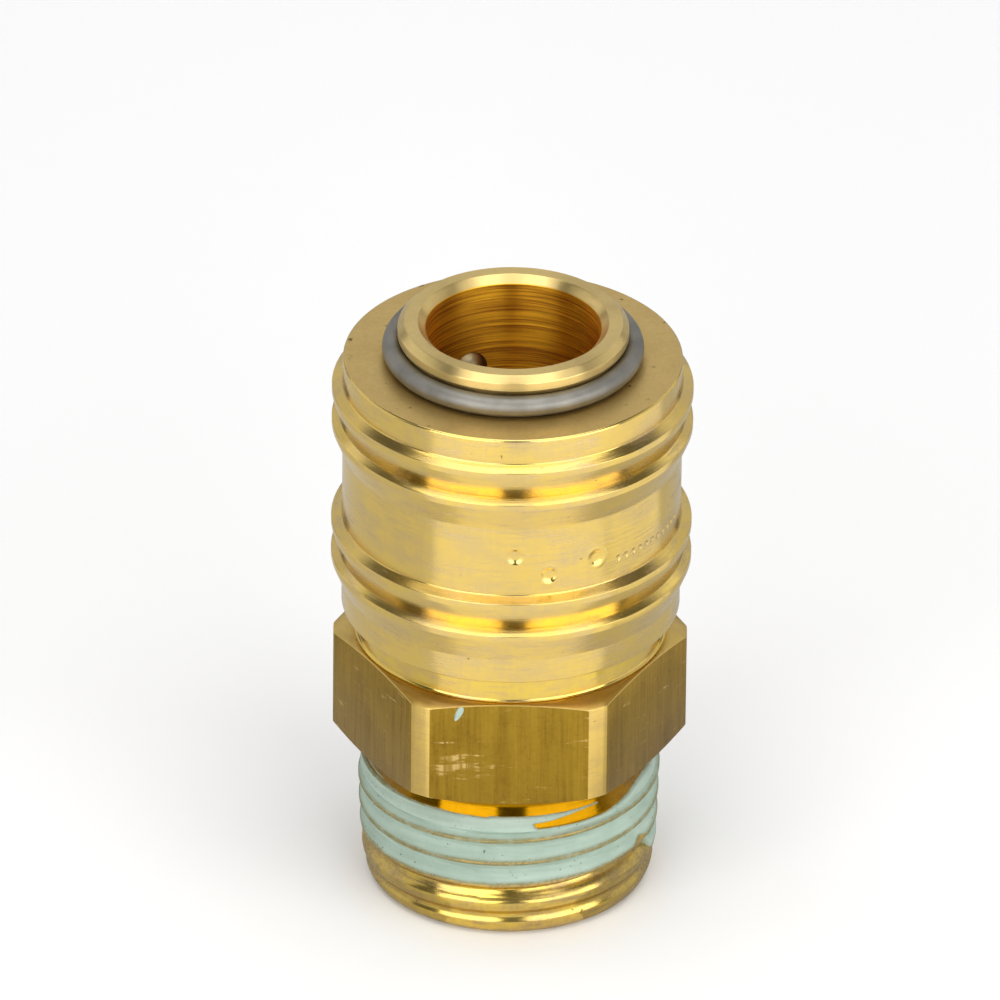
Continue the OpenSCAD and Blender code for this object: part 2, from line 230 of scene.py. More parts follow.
def thread_r(z, share):
    """Radius of the threaded surface, with the rounded lead at the bottom and the run-out at the top."""
    fade = np.clip((RIDGE_END - z) / RUNOUT, 0, 1)
    full_depth = smooth_step(*FULL_FORM_RISE, z)
    wave = SOFT_FORM - SOFT_SWING * np.cos(TURN * share)
    form = wave + full_depth * (thread_shape(share) - wave)
    ridge = minor_r(z) + THREAD_H * form * fade
    run_out = RUNOUT_R + RUNOUT_SLOPE * (THREAD_TOP - z)
    ridge = np.maximum(ridge, minor_r(z) + (run_out - minor_r(z)) * smooth_step(*VALLEY_RISE, z))
    lead = LEAD_R + LEAD_GROWTH * (1 - np.exp(-np.maximum(z, 0) / LEAD_LENGTH))
    gap = ridge - lead
    lower_of_both = lead + 0.5 * (gap - np.sqrt(gap * gap + LEAD_BLEND * LEAD_BLEND))
    rounded = lower_of_both + 0.5 * LEAD_BLEND * smooth_step(0, LEAD_TOP, z)
    ridge = np.where(z < LEAD_TOP, rounded, ridge)
    return FOOT_R + (ridge - FOOT_R) * np.sqrt(smooth_step(*FOOT_EDGE, z))


def thread_rows(theta, low, high):
    """Rows that follow the helix from one height to another: (height, share of pitch) arrays.
    The first is wholly at the low end and the last wholly at the high end."""
    start = math.floor((low - CREST_AT_X) / PITCH) - 1.5
    turns = math.ceil((high - CREST_AT_X) / PITCH - start + 0.1)
    climb = theta / TURN
    rows = []
    for turn in range(turns):
        for bend in BENDS:
            height = np.clip(CREST_AT_X + (start + turn + bend + climb) * PITCH, low, high)
            rows.append((height, (height - CREST_AT_X) / PITCH - climb + 0.5))
    return rows


def hex_columns():
    """Angles that include every edge of the turned corners."""
    strip = math.degrees(math.acos(HEX_FLAT_R / HEX_CORNER_R))
    edge = 30 - strip
    flat = np.linspace(edge, 60 - edge, 54)
    sector = np.concatenate([[0, edge / 2], flat, [60 - edge / 2]])
    return np.radians(np.concatenate([sector + 60 * k for k in range(6)]))


def adapter_rows(theta):
    """The adapter's outline as rows over theta, from the inlet bore out, up and back, and its helix."""
    from_flat = (np.degrees(theta) % 60) - 30
    hex_r = np.minimum(HEX_FLAT_R / np.cos(np.radians(from_flat)), HEX_CORNER_R)
    corner_share = (hex_r - TURNED_R) / (HEX_CORNER_R - TURNED_R)
    bottom = HEX_BOTTOM + HEX_BOTTOM_CHAMFER * corner_share
    top = HEX_TOP - HEX_CHAMFER * corner_share
    edge, soft = HEX_EDGE, HEX_EDGE * 0.3
    rows = [(INLET_R, INLET_EDGE), (INLET_R + INLET_EDGE, 0.0), (END_FACE_R, 0.0)]
    first = len(rows)
    rows += [(thread_r(z, share), z) for z, share in thread_rows(theta, 0.0, THREAD_TOP)]
    helix = range(first, len(rows))
    rows += [(RELIEF_R + 0.02, THREAD_TOP + 0.1), (RELIEF_R, THREAD_TOP + 0.2), (RELIEF_R, HEX_BOTTOM - 0.35),
             (RELIEF_R + 0.07, HEX_BOTTOM - 0.15), (RELIEF_R + 0.22, HEX_BOTTOM - 0.03),
             (RELIEF_R + 0.34, HEX_BOTTOM)]
    rows += [(TURNED_R, HEX_BOTTOM), (hex_r - edge, bottom - soft), (hex_r - edge * 0.25, bottom + soft),
             (hex_r, bottom + edge), (hex_r, top - edge), (hex_r - edge * 0.25, top - soft),
             (hex_r - edge, top + soft), (TURNED_R, HEX_TOP)]
    rows += fillet((TURNED_R, HEX_TOP), (NECK_R, HEX_TOP), (NECK_R, ADAPTER_TOP), 0.28)
    rows += [(NECK_R, ADAPTER_TOP - NECK_EDGE), (NECK_R - NECK_EDGE, ADAPTER_TOP),
             (SOCKET_R + 0.1, ADAPTER_TOP), (SOCKET_R, ADAPTER_TOP - 0.1), (SOCKET_R, SOCKET_FLOOR),
             (INLET_R, SOCKET_FLOOR)]
    return rows, helix


def adapter_finish(x, y, z):
    """The material slot of one of the adapter's faces, from the face's middle."""
    radius = math.hypot(x, y)
    from_flat = abs(math.degrees(math.atan2(y, x)) % 60 - 30)
    half_flat = math.degrees(math.acos(HEX_FLAT_R / HEX_CORNER_R))
    off_flat = abs(radius * math.cos(math.radians(from_flat)) - HEX_FLAT_R)
    if off_flat < 0.004 and from_flat < half_flat and HEX_BOTTOM < z < HEX_TOP:
        return FLAT_FINISH
    if z < RELIEF_LOOK_BOTTOM:
        return THREAD_FINISH
    # the relief under the hexagon takes the brass with painted shade
    if z < HEX_BOTTOM + HEX_BOTTOM_CHAMFER and radius > SOCKET_R:
        return RELIEF_SHADED
    if z < HEX_TOP + 0.01 and radius > NECK_R + 0.3:
        return CORNER_FINISH
    return TURNED_FINISH


def build_adapter():
    """Hexagon, thread and neck as one skin, with the thread's real helix."""
    theta = hex_columns()
    rows, helix = adapter_rows(theta)
    obj = skin("adapter_body", theta, rows, sharp_deg=35, helix=helix)
    for face in obj.data.polygons:
        face.material_index = adapter_finish(*(np.array(face.center) / MM))
    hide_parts("threaded_adapter")
    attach(obj, "body")
    return obj


# ---------------------------------------------------------------- sealant

def ripple(theta, z=0.0, seed=0.0):
    """Smooth uneven values from -1 to 1, the same at every run."""
    total = np.zeros(np.broadcast(theta, z).shape)
    for k, share in ((3, 0.3), (7, 0.27), (13, 0.2), (29, 0.13), (53, 0.1)):
        total = total + share * np.sin(k * theta + seed * k * 1.7 + 1.3 * k * z / PITCH)
    return total


def gauss(x, middle, width):
    return np.exp(-((x - middle) / width) ** 2)


def crest_height(deg, turn):
    """Height of a crest at an angle; turn 0 is the first above the end face at the front."""
    return FRONT_CREST + PITCH * (turn + (deg - 270) / 360)


def inside_coat(deg, z):
    """Distance in from the edge of the sealant, in millimetres, negative outside it. The lower edge follows a
    crest and steps down a turn on the right; a bare gap opens at the front, with a thin stripe above it."""
    theta = np.radians(deg)
    step_down = PITCH * smooth_step(337, 346, deg)
    lower = crest_height(deg, 1) + 0.07 * ripple(theta, 0, 1.0) - step_down
    lower = lower + 0.30 * gauss(deg, 334, 5) - 0.35 * gauss(deg, 351, 4) - 0.02
    gap_open = smooth_step(277.5, 282, deg) * (1 - smooth_step(306, 341, deg))
    upper = COAT_TOP - 0.86 * gap_open + 0.05 * ripple(theta, 0, 2.0)
    body = np.minimum(z - lower, upper - z)
    stripe = np.minimum(z - 9.06 - 0.44 * smooth_step(279, 308, deg), STRIPE_TOP - z)
    stripe = np.minimum(stripe, np.minimum(deg - 262, 309 - deg) * 0.18)
    return np.maximum(body, stripe)


def coat_row(theta, deg, z, share):
    """Thickness of the sealant along one row, negative where it is bare, and how scuffed it is."""
    form = thread_shape(share)
    inside = inside_coat(deg, z)
    uneven = 1 + 0.10 * ripple(theta, z, 4.0)
    fill = 0.05 + 0.62 * (1 - form) ** 1.35 * uneven * (1 - 0.8 * smooth_step(8.0, 8.8, z))
    from_crest = np.abs(share % 1 - 0.5) * PITCH
    worn = smooth_step(0.07, 0.02, from_crest + 0.035 * ripple(theta, z, 3.0)) * smooth_step(0.8, 0.95, form)
    cover = smooth_step(-0.03, 0.22, inside)
    bare = np.maximum(worn, 1 - smooth_step(-0.06, 0.05, inside))
    scuffed = np.maximum(smooth_step(0.8, 1.0, form) * 0.95, 1 - smooth_step(0.0, 0.18, inside))
    return fill * cover * (1 - worn) - 0.05 * bare, np.clip(scuffed, 0, 1)


def build_sealant():
    """The dried coat: thick in the thread's valleys, worn off its crests."""
    theta = np.radians(np.arange(0, 360, 0.8))
    deg = np.degrees(theta)
    outer, inner, thick, scuffed = [], [], [], []
    for z, share in thread_rows(theta, COAT_BOTTOM, THREAD_TOP + 0.05):
        coat, scuff = coat_row(theta, deg, z, share)
        base = thread_r(z, share)
        for points, radius in ((outer, base + coat), (inner, base - 0.07)):
            points.append(np.stack([radius * np.cos(theta), radius * np.sin(theta), z], axis=1))
        scuffed.append(scuff)
        thick.append(coat)
    rows, cols = len(outer), len(theta)
    thick = np.array(thick)

    def corners(j, i):
        """Row and column of a face's corners; past the last column comes the first, a turn above."""
        if i + 1 < cols:
            return [(j, i), (j, i + 1), (j + 1, i + 1), (j + 1, i)]
        return [(j, i), (run_on(j, range(rows)), 0), (run_on(j + 1, range(rows)), 0), (j + 1, i)]

    cells = [(j, i) for j in range(rows - 1) for i in range(cols)]
    below = rows * cols
    faces = []
    edges = {}
    for j, i in cells:
        if max(thick[corner] for corner in corners(j, i)) <= 0:
            continue
        a, b, c, d = [p * cols + q for p, q in corners(j, i)]
        faces.append((a, b, c, d))
        faces.append((a + below, d + below, c + below, b + below))
        for p, q in ((a, b), (b, c), (c, d), (d, a)):
            if (q, p) in edges:
                del edges[q, p]
            else:
                edges[p, q] = True
    faces += [(p, p + below, q + below, q) for p, q in edges]
    obj = new_object("sealant_coat", np.concatenate(outer + inner), faces, sharp_deg=60)
    scuff = obj.data.attributes.new("scuff", "FLOAT", "POINT")
    scuff.data.foreach_set("value", np.tile(np.concatenate(scuffed), 2).astype(np.float32))
    bm = bmesh.new()
    bm.from_mesh(obj.data)
    bmesh.ops.remove_doubles(bm, verts=bm.verts, dist=2e-7)
    bmesh.ops.dissolve_degenerate(bm, edges=bm.edges, dist=1e-7)
    bmesh.ops.delete(bm, geom=[v for v in bm.verts if not v.link_faces], context="VERTS")
    bm.to_mesh(obj.data)
    bm.free()
    obj.data.shade_smooth()
    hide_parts("thread_sealant")
    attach(obj, "body")
    return obj


def build_speck():
    """A stray drop of sealant on the front flat of the hexagon."""
    rings, around = 6, 20
    middle_x, middle_z, height = -3.5, 18.55, 0.13
    half_width, half_length = 0.24, 0.62
    verts, faces = [], []
    tilt = math.radians(-24)
    for j in range(rings):
        lift = j / (rings - 1)
        for i in range(around):
            a = TURN * i / around
            width = half_width * (1 + 0.25 * math.sin(a)) * math.sqrt(1 - 0.97 * lift ** 2)
            length = half_length * math.sqrt(1 - 0.97 * lift ** 2)
            u, v = width * math.cos(a), length * math.sin(a)
            verts.append((middle_x + u * math.cos(tilt) - v * math.sin(tilt),
                          -HEX_FLAT_R + 0.02 - height * lift,
                          middle_z + u * math.sin(tilt) + v * math.cos(tilt)))
    for j in range(rings - 1):
        for i in range(around):
            k = (i + 1) % around
            faces.append((j * around + i, j * around + k, (j + 1) * around + k, (j + 1) * around + i))
    faces.append(tuple(range(around - 1, -1, -1)))
    faces.append(tuple(range((rings - 1) * around, rings * around)))
    obj = new_object("sealant_speck", verts, faces, sharp_deg=80)
    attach(obj, "body")
    return obj


def grip(top):
    """Corners of a pair of grip ribs: a cone up to a first rib, a groove, and a second rib."""
    groove_r, flat, cone, spacing, shoulder = 12.0, 0.45, 1.85, 2.55, 0.3
    return [(BAND_R, top - flat - cone, 0.3), (RIB_R, top - flat, 0.10), (RIB_R, top, 0.07),
            (groove_r, top + shoulder - 0.02), (groove_r - 0.07, top + shoulder + 0.03),
            (groove_r + 0.02, top + shoulder + 0.1), (RIB_R, top + spacing - flat, 0.10),
            (RIB_R, top + spacing, 0.07), (BAND_R, top + spacing + shoulder, 0.12)]


def punch_depth(deg, z, radius):
    """Depth of the plain round punch dots on the sleeve's middle band."""
    depth = np.zeros(np.broadcast(deg, z).shape)
    dots = [(271.4, 31.6, 0.62), (283.0, 30.0, 0.62), (300.0, 30.7, 0.62)]
    dots += [(middle, 30.1, 0.24) for middle in np.arange(309, 346, 3.4)]
    for middle, height, reach in dots:
        d = np.hypot(np.radians(deg - middle) * radius, z - height) / reach
        depth = depth + reach * (0.22 * smooth_step(1.05, 0.45, d) - 0.04 * gauss(d, 1.2, 0.17))
    return depth


def build_sleeve():
    """The release sleeve: two pairs of grip ribs outside, the CAD sleeve's cavity inside."""
    lip_r, pocket_r, land_r, spring_room_r, guide_r = 8.5, 9.32, 8.02, 10.2, 10.67
    lip_bottom = SLEEVE_TOP - 0.5
    land_bottom, land_top, cone_top, spring_room_bottom = 35.3, 35.85, 38.3, 26.0
    corners = [(guide_r + 0.3, SLEEVE_BOTTOM), (BAND_R, SLEEVE_BOTTOM, 0.14)]
    corners += grip(25.65)
    corners += [(BAND_R, z) for z in np.arange(29.15, 32.5, 0.065)]
    corners += grip(36.1)
    corners += [(BAND_R, SLEEVE_TOP, 0.2), (lip_r, SLEEVE_TOP, 0.05), (lip_r, lip_bottom)]
    corners += [(pocket_r, lip_bottom), (pocket_r, cone_top), (land_r, land_top), (land_r, land_bottom)]
    corners += [(spring_room_r, land_bottom, 0.3), (spring_room_r, spring_room_bottom)]
    corners += [(guide_r, spring_room_bottom), (guide_r, SLEEVE_BOTTOM + 0.3)]
    deg = np.concatenate([np.arange(0, 267), np.arange(267, 348, 0.25), np.arange(348, 360)])
    rows = [(radius - (punch_depth(deg, z, radius) if radius == BAND_R else 0), z)
            for radius, z in outline(corners)]
    obj = skin("release_sleeve", np.radians(deg), rows, sharp_deg=40)
    for face in obj.data.polygons:
        on_end = face.normal.z > 0.9 and face.center.z > (SLEEVE_TOP - 0.1) * MM
        face.material_index = FACED_FINISH if on_end else 0
    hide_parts("sleeve")
    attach(obj, "sleeve")
    return obj


def build_spring(name, node, wire, turns):
    """A coil of round wire with closed end turns in place of a CAD spring."""
    low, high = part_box(node)
    bottom, top, middle_r = low.z / MM, high.z / MM, high.x / MM - wire / 2
    steps, sides = 48, 12
    turned = np.linspace(0, turns, turns * steps + 1)
    rise, closed = top - bottom - wire, 1.06 * wire
    centre = bottom + wire / 2 + np.interp(turned, [0, 1, turns - 1, turns], [0, closed, rise - closed, rise])
    verts, faces = [], []
    for share, height in zip(turned, centre):
        for side in range(sides):
            around = TURN * side / sides
            radius = middle_r + wire / 2 * math.cos(around)
            verts.append((radius * math.cos(TURN * share), radius * math.sin(TURN * share),
                          height + wire / 2 * math.sin(around)))
    for ring in range(len(turned) - 1):
        for side in range(sides):
            nearby = (side + 1) % sides
            this, following = ring * sides, (ring + 1) * sides
            faces.append((this + side, following + side, following + nearby, this + nearby))
    faces.append(tuple(range(sides)))
    faces.append(tuple(range(len(verts) - 1, len(verts) - 1 - sides, -1)))
    obj = new_object(name, verts, faces, sharp_deg=50)
    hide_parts(node)
    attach(obj, "body")
    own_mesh(obj)
    return obj


# ---------------------------------------------------------------- materials

def add(tree, kind, inputs=None, **props):
    """A shader node. An input is a value or another node's output."""
    node = tree.nodes.new("ShaderNode" + kind)
    for key, value in props.items():
        setattr(node, key, value)
    for key, value in (inputs or {}).items():
        if isinstance(value, bpy.types.NodeSocket):
            tree.links.new(value, node.inputs[key])
        else:
            node.inputs[key].default_value = value
    return node


def math_node(tree, operation, a, b=0.0, c=0.0, clamp=False):
    node = add(tree, "Math", {0: a, 1: b, 2: c}, operation=operation, use_clamp=clamp)
    return node.outputs[0]


def mix_color(tree, share, a, b):
    node = tree.nodes.new("ShaderNodeMix")
    node.data_type = "RGBA"
    for key, value in ((0, share), (6, a), (7, b)):
        if isinstance(value, bpy.types.NodeSocket):
            tree.links.new(value, node.inputs[key])
        else:
            node.inputs[key].default_value = value
    return node.outputs[2]


def ramp(tree, value, stops):
    node = add(tree, "ValToRGB", {0: value})
    elements = node.color_ramp.elements
    while len(elements) < len(stops):
        elements.new(0.5)
    for element, (position, shade) in zip(elements, stops):
        element.position = position
        element.color = (shade, shade, shade, 1)
    return node.outputs[0]


def noise(tree, vector, scale, detail=3.0, roughness=0.5):
    inputs = {"Vector": vector, "Scale": scale, "Detail": detail, "Roughness": roughness}
    return add(tree, "TexNoise", inputs).outputs[0]


def scaled(tree, vector, *scale, **settings):
    """Coordinates scaled along the three axes, and turned if a rotation is given."""
    return add(tree, "Mapping", {"Vector": vector, "Scale": scale, **settings}).outputs[0]


def spread(tree, value, low, high):
    """A value spread over 0 to 1 from a low to a high level."""
    return ramp(tree, value, [(low, 0.0), (high, 1.0)])


def bumped(tree, shader, depth, height):
    """Gives a shader a relief of a depth in millimetres."""
    bump = add(tree, "Bump", {"Strength": 1.0, "Distance": depth * MM, "Height": height})
    tree.links.new(bump.outputs[0], shader.inputs["Normal"])


def brushed(tree, shader, anisotropy):
    """Draws a shader's highlights out round the axis."""
    tangent = add(tree, "Tangent", direction_type="RADIAL", axis="Z").outputs[0]
    tree.links.new(tangent, shader.inputs["Tangent"])
    shader.inputs["Anisotropic"].default_value = anisotropy


def radius_from_axis(tree, place):
    x, y, _ = add(tree, "SeparateXYZ", {0: place}).outputs
    squares = math_node(tree, "ADD", math_node(tree, "MULTIPLY", x, x), math_node(tree, "MULTIPLY", y, y))
    return math_node(tree, "SQRT", squares)


def turned_space(tree, lines_per_mm, wander=0.6):
    """Coordinates in which noise becomes the circular lines of a turned surface."""
    place = add(tree, "TexCoord").outputs["Object"]
    x, y, z = add(tree, "SeparateXYZ", {0: place}).outputs
    radius = radius_from_axis(tree, place)
    scale = lines_per_mm / MM
    across = math_node(tree, "MULTIPLY", radius, scale)
    along = math_node(tree, "MULTIPLY", z, scale)
    unit_x = math_node(tree, "DIVIDE", x, radius)
    unit_y = math_node(tree, "DIVIDE", y, radius)
    across = math_node(tree, "ADD", across, math_node(tree, "MULTIPLY", unit_x, wander))
    along = math_node(tree, "ADD", along, math_node(tree, "MULTIPLY", unit_y, wander))
    return add(tree, "CombineXYZ", {0: across, 1: along, 2: 0.0}).outputs[0]


def new_material(name):
    material = bpy.data.materials.new(name)
    material.use_nodes = True
    tree = material.node_tree
    tree.nodes.clear()
    output = add(tree, "OutputMaterial")
    shader = add(tree, "BsdfPrincipled")
    tree.links.new(shader.outputs[0], output.inputs[0])
    return material, tree, shader


def linear(r, g, b):
    """Linear colour from the 0 to 255 values a screen shows."""
    def one(v):
        v /= 255
        return v / 12.92 if v <= 0.04045 else ((v + 0.055) / 1.055) ** 2.4
    return (one(r), one(g), one(b), 1)


def scattered(tree, vector, scale, low, high, detail=2.0):
    """Sparse marks: 1 where noise rises above a level, 0 elsewhere."""
    return spread(tree, noise(tree, vector, scale, detail, 0.5), low, high)


def turned_brass(name, base, dull, roughness, anisotropy, line_depth, lines=5.0, haze=0.5, bore=None):
    """Turned brass: circular tool lines, hazy patches, scuffs round the axis and small dark pits.
    A bore colour, a deeper and brighter orange, paints the light bounced round inside the plug bore, with
    dragged streaks over it."""
    material, tree, shader = new_material(name)
    shader.inputs["Metallic"].default_value = 1.0
    shader.inputs["Anisotropic Rotation"].default_value = 0.25
    brushed(tree, shader, anisotropy)
    place = add(tree, "TexCoord").outputs["Object"]
    fine = noise(tree, turned_space(tree, lines), 1.0, 4.0, 0.65)
    coarse = noise(tree, turned_space(tree, lines / 5), 1.0, 3.0, 0.6)
    patch = noise(tree, scaled(tree, place, 1.0, 1.0, 2.4), 260.0, 6.0, 0.68)
    scuff = scattered(tree, scaled(tree, place, 1.0, 1.0, 14.0), 300.0, 0.57, 0.66, 5.0)
    pits = scattered(tree, place, 1900.0, 0.75, 0.79)
    streak = noise(tree, scaled(tree, place, 1.0, 1.0, 0.12), 3000.0, 3.0, 0.6)
    share = math_node(tree, "MULTIPLY", spread(tree, patch, 0.42, 0.66), haze)
    share = math_node(tree, "MULTIPLY_ADD", spread(tree, streak, 0.45, 0.7), 0.35 * haze, share)
    share = math_node(tree, "MULTIPLY_ADD", scuff, 0.6 * haze, share)
    share = math_node(tree, "MULTIPLY_ADD", spread(tree, fine, 0.5, 0.8), 0.2, share, clamp=True)
    color = mix_color(tree, share, base, dull)
    color = mix_color(tree, math_node(tree, "MULTIPLY", pits, 0.7), color, linear(92, 68, 30))
    rough = math_node(tree, "MULTIPLY_ADD", spread(tree, patch, 0.42, 0.7), 0.07, roughness - 0.05)
    rough = math_node(tree, "MULTIPLY_ADD", scuff, 0.10, rough)
    rough = math_node(tree, "MULTIPLY_ADD", coarse, 0.06, rough)
    height = math_node(tree, "MULTIPLY_ADD", coarse, 1.6, fine)
    height = math_node(tree, "MULTIPLY_ADD", pits, -1.5, height)
    # inside the bore: painted bounced light, a deeper orange than the brass outside, mixed with darker
    # dragged streaks
    if bore:
        reach = math_node(tree, "DIVIDE", radius_from_axis(tree, place), RIB_R * MM)
        inside = ramp(tree, reach, [(0.488, 1.0), (0.490, 0.0)])
        drag = noise(tree, turned_space(tree, 5.5, 0.8), 1.0, 3.0, 0.6)
        bounce_tinted_streaks = mix_color(tree, spread(tree, drag, 0.38, 0.62), linear(170, 104, 14), bore)
        color = mix_color(tree, inside, color, bounce_tinted_streaks)
        rough = math_node(tree, "MULTIPLY_ADD", inside, 0.11, rough)
        height = math_node(tree, "MULTIPLY_ADD", math_node(tree, "MULTIPLY", inside, drag), 1.2, height)
    tree.links.new(color, shader.inputs["Base Color"])
    tree.links.new(rough, shader.inputs["Roughness"])
    bumped(tree, shader, line_depth, height)
    return material


def add_residue(material, tint, roughness):
    """Dried sealant dust on the bare turns: under the coat's edge and round the sides."""
    tree = material.node_tree
    shader = next(node for node in tree.nodes if node.type == "BSDF_PRINCIPLED")
    place = add(tree, "TexCoord").outputs["Object"]
    x, y, z = add(tree, "SeparateXYZ", {0: place}).outputs
    azimuth = math_node(tree, "ARCTAN2", x, math_node(tree, "MULTIPLY", y, -1.0))
    turn = math_node(tree, "DIVIDE", azimuth, TURN)
    from_front = math_node(tree, "ABSOLUTE", turn)
    side = ramp(tree, from_front, [(0.11, 0.0), (0.19, 0.85), (0.34, 0.85), (0.45, 0.35)])
    coat_edge = math_node(tree, "MULTIPLY_ADD", turn, PITCH * MM, crest_height(270, 1) * MM)
    below = math_node(tree, "DIVIDE", math_node(tree, "SUBTRACT", coat_edge, z), MM)
    near = ramp(tree, below, [(0.0, 0.9), (0.75, 0.0)])
    on_thread = math_node(tree, "LESS_THAN", z, RESIDUE_TOP * MM)
    near = math_node(tree, "MULTIPLY", near, on_thread)
    foot = ramp(tree, math_node(tree, "DIVIDE", z, MM), [(0.25, 0.8), (0.6, 0.0)])
    near = math_node(tree, "MAXIMUM", near, foot)
    cloud = ramp(tree, noise(tree, place, 700.0, 4.0, 0.65), [(0.32, 0.25), (0.58, 1.0)])
    cover = math_node(tree, "MULTIPLY", math_node(tree, "MAXIMUM", side, near), cloud)
    grain = spread(tree, noise(tree, place, 4200.0, 3.0, 0.7), 0.40, 0.62)
    dusty = mix_color(tree, grain, linear(*(0.78 * c for c in tint)), linear(*tint))
    bare_color = shader.inputs["Base Color"].links[0].from_socket
    tree.links.new(mix_color(tree, cover, bare_color, dusty), shader.inputs["Base Color"])
    bare_rough = shader.inputs["Roughness"].links[0].from_socket
    lift = math_node(tree, "SUBTRACT", roughness, bare_rough)
    tree.links.new(math_node(tree, "MULTIPLY_ADD", cover, lift, bare_rough), shader.inputs["Roughness"])


def faced_brass(name, base, dull, roughness):
    """The sleeve's faced end: matt and finely speckled."""
    material, tree, shader = new_material(name)
    shader.inputs["Metallic"].default_value = 1.0
    place = add(tree, "TexCoord").outputs["Object"]
    speckle = noise(tree, place, 2600.0, 4.0, 0.7)
    patch = noise(tree, place, 420.0, 4.0, 0.6)
    rings = noise(tree, turned_space(tree, 4.0), 1.0, 3.0, 0.6)
    pits = scattered(tree, place, 1300.0, 0.70, 0.76)
    share = math_node(tree, "MULTIPLY_ADD", speckle, 0.6, math_node(tree, "MULTIPLY", patch, 0.7), clamp=True)
    color = mix_color(tree, share, base, dull)
    color = mix_color(tree, math_node(tree, "MULTIPLY", pits, 0.8), color, linear(84, 64, 30))
    tree.links.new(color, shader.inputs["Base Color"])
    rough = math_node(tree, "MULTIPLY_ADD", speckle, 0.2, roughness - 0.1)
    tree.links.new(rough, shader.inputs["Roughness"])
    bumped(tree, shader, 0.012, math_node(tree, "MULTIPLY_ADD", rings, 0.8, speckle))
    return material


def bar_brass(name, base, dull, roughness):
    """Drawn hexagon bar: grain along the axis, with light scuffs across the flats."""
    material, tree, shader = new_material(name)
    shader.inputs["Metallic"].default_value = 1.0
    brushed(tree, shader, 0.5)
    place = add(tree, "TexCoord").outputs["Object"]
    along = scaled(tree, place, 1.0, 1.0, 0.04)
    across = scaled(tree, place, 0.18, 0.18, 1.0, Rotation=(0.0, -0.12, 0.0))
    grain = noise(tree, along, 5200.0, 5.0, 0.65)
    streaks = noise(tree, along, 1300.0, 3.0, 0.6)
    patch = noise(tree, place, 300.0, 4.0, 0.6)
    speckle = noise(tree, place, 3400.0, 3.0, 0.7)
    share = math_node(tree, "MULTIPLY", spread(tree, streaks, 0.38, 0.66), 0.32)
    share = math_node(tree, "MULTIPLY_ADD", spread(tree, patch, 0.4, 0.7), 0.35, share)
    share = math_node(tree, "MULTIPLY_ADD", spread(tree, grain, 0.46, 0.62), 0.2, share)
    share = math_node(tree, "MULTIPLY_ADD", spread(tree, speckle, 0.5, 0.75), 0.35, share, clamp=True)
    color = mix_color(tree, share, base, dull)
    rubs = noise(tree, across, 2300.0, 4.0, 0.65)
    level = math_node(tree, "MULTIPLY_ADD", worn_spot(tree, place), 0.23, rubs)
    hatch = ramp(tree, noise(tree, along, 3600.0, 3.0, 0.6), [(0.42, 0.15), (0.56, 1.0)])
    rubbed = math_node(tree, "MULTIPLY", spread(tree, level, 0.63, 0.71), hatch)
    color = mix_color(tree, math_node(tree, "MULTIPLY", rubbed, 0.75), color, linear(222, 190, 120))
    tree.links.new(color, shader.inputs["Base Color"])
    rough = math_node(tree, "MULTIPLY_ADD", grain, 0.16, roughness - 0.08)
    tree.links.new(rough, shader.inputs["Roughness"])
    height = math_node(tree, "MULTIPLY_ADD", streaks, 0.8, grain)
    bumped(tree, shader, 0.005, math_node(tree, "MULTIPLY_ADD", rubbed, -0.8, height))
    return material


def worn_spot(tree, place):
    """1 in the middle of the rubbed spot on the front flat, falling to 0 at its edge."""
    middle_x, middle_z, half_width, half_height = -3.1, 14.4, 2.4, 1.2
    x, y, z = add(tree, "SeparateXYZ", {0: place}).outputs
    off_x = math_node(tree, "DIVIDE", math_node(tree, "ADD", x, -middle_x * MM), half_width * MM)
    off_z = math_node(tree, "DIVIDE", math_node(tree, "SUBTRACT", z, middle_z * MM), half_height * MM)
    squares = [math_node(tree, "POWER", off, 2.0) for off in (off_x, off_z)]
    spot = math_node(tree, "SUBTRACT", 1.0, math_node(tree, "ADD", *squares), clamp=True)
    return math_node(tree, "MULTIPLY", spot, math_node(tree, "LESS_THAN", y, 0.0))


def steel(name, base, roughness, grain_depth=0.002):
    """Plain steel: faint darker blotches and a fine grain."""
    material, tree, shader = new_material(name)
    shader.inputs["Metallic"].default_value = 1.0
    place = add(tree, "TexCoord").outputs["Object"]
    fine = noise(tree, place, 3000.0, 4.0, 0.6)
    blotch = noise(tree, place, 500.0, 3.0)
    dark = tuple(c * 0.7 for c in base[:3]) + (1,)
    tree.links.new(mix_color(tree, spread(tree, blotch, 0.35, 0.7), base, dark), shader.inputs["Base Color"])
    rough = math_node(tree, "MULTIPLY_ADD", fine, 0.15, roughness - 0.07)
    tree.links.new(rough, shader.inputs["Roughness"])
    bumped(tree, shader, grain_depth, fine)
    return material


def rubber(name):
    material, tree, shader = new_material(name)
    place = add(tree, "TexCoord").outputs["Object"]
    fine = noise(tree, place, 2500.0, 3.0)
    black, grey = (0.012, 0.012, 0.012, 1), (0.03, 0.03, 0.03, 1)
    tree.links.new(mix_color(tree, fine, black, grey), shader.inputs["Base Color"])
    tree.links.new(math_node(tree, "MULTIPLY_ADD", fine, 0.2, 0.5), shader.inputs["Roughness"])
    bumped(tree, shader, 0.004, fine)
    return material


